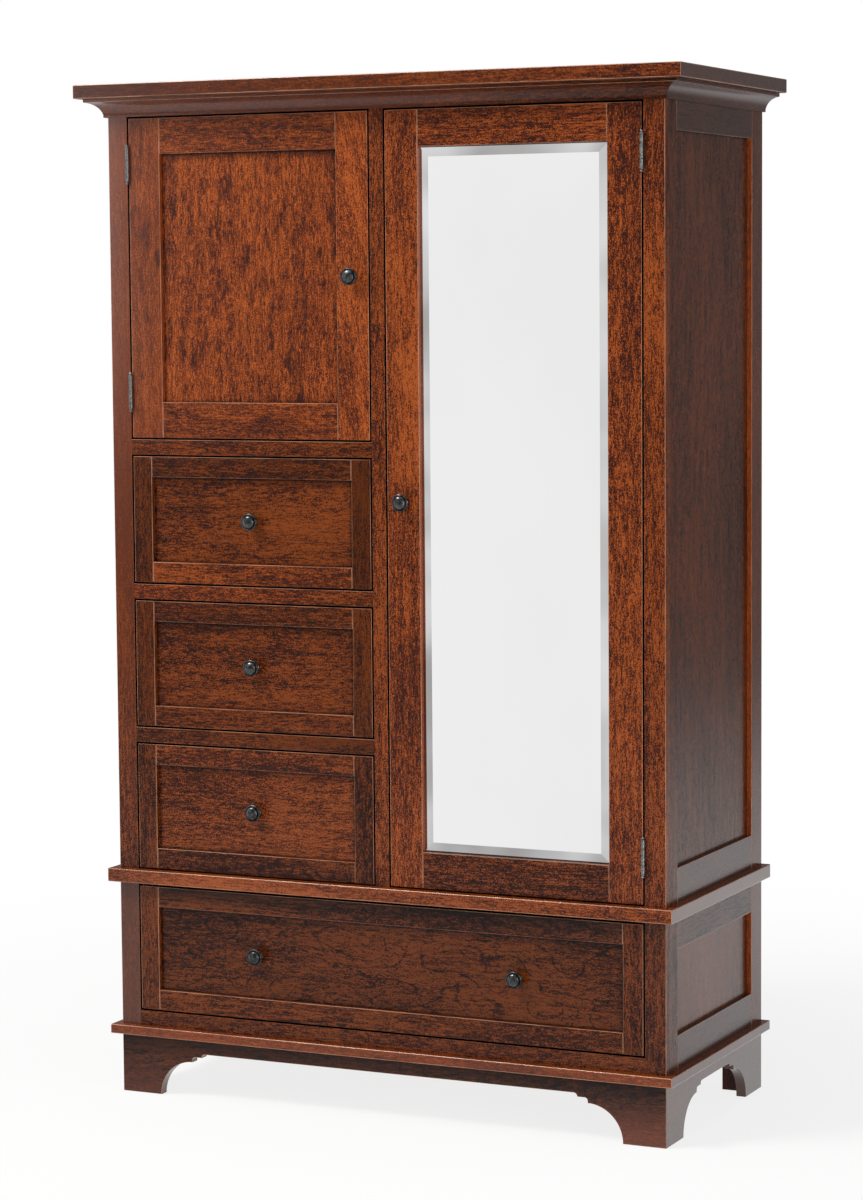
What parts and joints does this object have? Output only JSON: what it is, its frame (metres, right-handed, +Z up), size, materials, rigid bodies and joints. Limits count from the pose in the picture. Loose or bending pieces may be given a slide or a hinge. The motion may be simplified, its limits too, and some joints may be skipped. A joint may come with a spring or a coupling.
{
  "type": "chiffonier",
  "caption": "Stacked cherry wardrobe chest with a panel door above drawers, a tall bevelled mirror door, a wide drawer below, a cove cornice and bracket feet.",
  "frame": {"origin": "on the floor under the middle of the overall box", "axes": "+Z up, +X to the viewer's right when facing the front, the front faces -Y"},
  "size_m": [1.189, 0.5436, 1.88],
  "materials": {
    "cherry": "dark cherry stain, satin lacquer",
    "inside_cherry": "thin cherry stain",
    "plain_wood": "sawn and unfinished",
    "back_ply": "stained plywood",
    "box_maple": "clear lacquer",
    "bronze": "dark oil-rubbed bronze",
    "hinge_steel": "antique steel",
    "zinc": "bright zinc",
    "catch_plastic": "moulded brown",
    "mirror": "bevelled silvered glass",
    "backing_board": "hardboard"
  },
  "bodies": {
    "case": {"top_slab": "cherry", "cornice_mouldings": "cherry", "upper_side_frames": "cherry", "upper_side_panels": "cherry", "upper_face_frame": "cherry", "waist_slab": "cherry", "lower_side_frames": "cherry", "lower_side_panels": "cherry", "lower_face_frame": "cherry", "base_band": "cherry", "base_front": "cherry", "base_sides": "cherry", "partition": "inside_cherry", "cupboard_floor": "inside_cherry", "adjustable_shelf": "inside_cherry", "clothes_rod": "inside_cherry", "base_back": "plain_wood", "base_corner_blocks": "plain_wood", "slide_cleats": "plain_wood", "upper_back": "back_ply", "lower_back": "back_ply", "left_hinge_case_leaves": "hinge_steel", "mirror_hinge_case_leaves": "hinge_steel", "hinge_pins": "hinge_steel", "slide_case_members": "zinc", "shelf_pins": "zinc", "rod_sockets": "zinc", "magnetic_catches": "catch_plastic"},
    "drawer_1": {"drawer_1_front": "cherry", "drawer_1_box": "box_maple", "drawer_1_knob": "bronze", "drawer_1_runners": "zinc"},
    "drawer_1_middles": {"drawer_1_slide_middles": "zinc"},
    "drawer_2": {"drawer_2_front": "cherry", "drawer_2_box": "box_maple", "drawer_2_knob": "bronze", "drawer_2_runners": "zinc"},
    "drawer_2_middles": {"drawer_2_slide_middles": "zinc"},
    "drawer_3": {"drawer_3_front": "cherry", "drawer_3_box": "box_maple", "drawer_3_knob": "bronze", "drawer_3_runners": "zinc"},
    "drawer_3_middles": {"drawer_3_slide_middles": "zinc"},
    "wide_drawer": {"wide_drawer_front": "cherry", "wide_drawer_box": "box_maple", "wide_drawer_knobs": "bronze", "wide_drawer_runners": "zinc"},
    "wide_drawer_middles": {"wide_drawer_slide_middles": "zinc"},
    "left_door": {"left_door_frame": "cherry", "left_door_panel": "cherry", "left_door_knob": "bronze", "left_hinge_door_leaves": "hinge_steel", "left_door_strike": "zinc"},
    "mirror_door": {"mirror_door_frame": "cherry", "mirror_glass": "mirror", "mirror_backing": "backing_board", "mirror_stops": "inside_cherry", "mirror_door_knob": "bronze", "mirror_hinge_door_leaves": "hinge_steel", "mirror_door_strike": "zinc"}
  },
  "joints": [
    {"name": "left_door_swing", "type": "hinge", "parent": "case", "child": "left_door", "pos_m": [-0.5066, -0.22905, 1.5262], "axis": [0, 0, -1], "range_deg": [0, 170]},
    {"name": "mirror_door_swing", "type": "hinge", "parent": "case", "child": "mirror_door", "pos_m": [0.5066, -0.22905, 1.124], "axis": [0, 0, 1], "range_deg": [0, 170]},
    {"name": "drawer_1_slide", "type": "slide", "parent": "case", "child": "drawer_1", "axis": [0, -1, 0], "range_m": [0, 0.45]},
    {"name": "drawer_1_middles_slide", "type": "slide", "parent": "case", "child": "drawer_1_middles", "axis": [0, -1, 0], "range_m": [0, 0.225]},
    {"name": "drawer_2_slide", "type": "slide", "parent": "case", "child": "drawer_2", "axis": [0, -1, 0], "range_m": [0, 0.45]},
    {"name": "drawer_2_middles_slide", "type": "slide", "parent": "case", "child": "drawer_2_middles", "axis": [0, -1, 0], "range_m": [0, 0.225]},
    {"name": "drawer_3_slide", "type": "slide", "parent": "case", "child": "drawer_3", "axis": [0, -1, 0], "range_m": [0, 0.45]},
    {"name": "drawer_3_middles_slide", "type": "slide", "parent": "case", "child": "drawer_3_middles", "axis": [0, -1, 0], "range_m": [0, 0.225]},
    {"name": "wide_drawer_slide", "type": "slide", "parent": "case", "child": "wide_drawer", "axis": [0, -1, 0], "range_m": [0, 0.45]},
    {"name": "wide_drawer_middles_slide", "type": "slide", "parent": "case", "child": "wide_drawer_middles", "axis": [0, -1, 0], "range_m": [0, 0.225]}
  ],
  "couplings": [
    {"joint": "drawer_1_middles_slide", "follows": "drawer_1_slide", "ratio": 0.5},
    {"joint": "drawer_2_middles_slide", "follows": "drawer_2_slide", "ratio": 0.5},
    {"joint": "drawer_3_middles_slide", "follows": "drawer_3_slide", "ratio": 0.5},
    {"joint": "wide_drawer_middles_slide", "follows": "wide_drawer_slide", "ratio": 0.5}
  ]
}
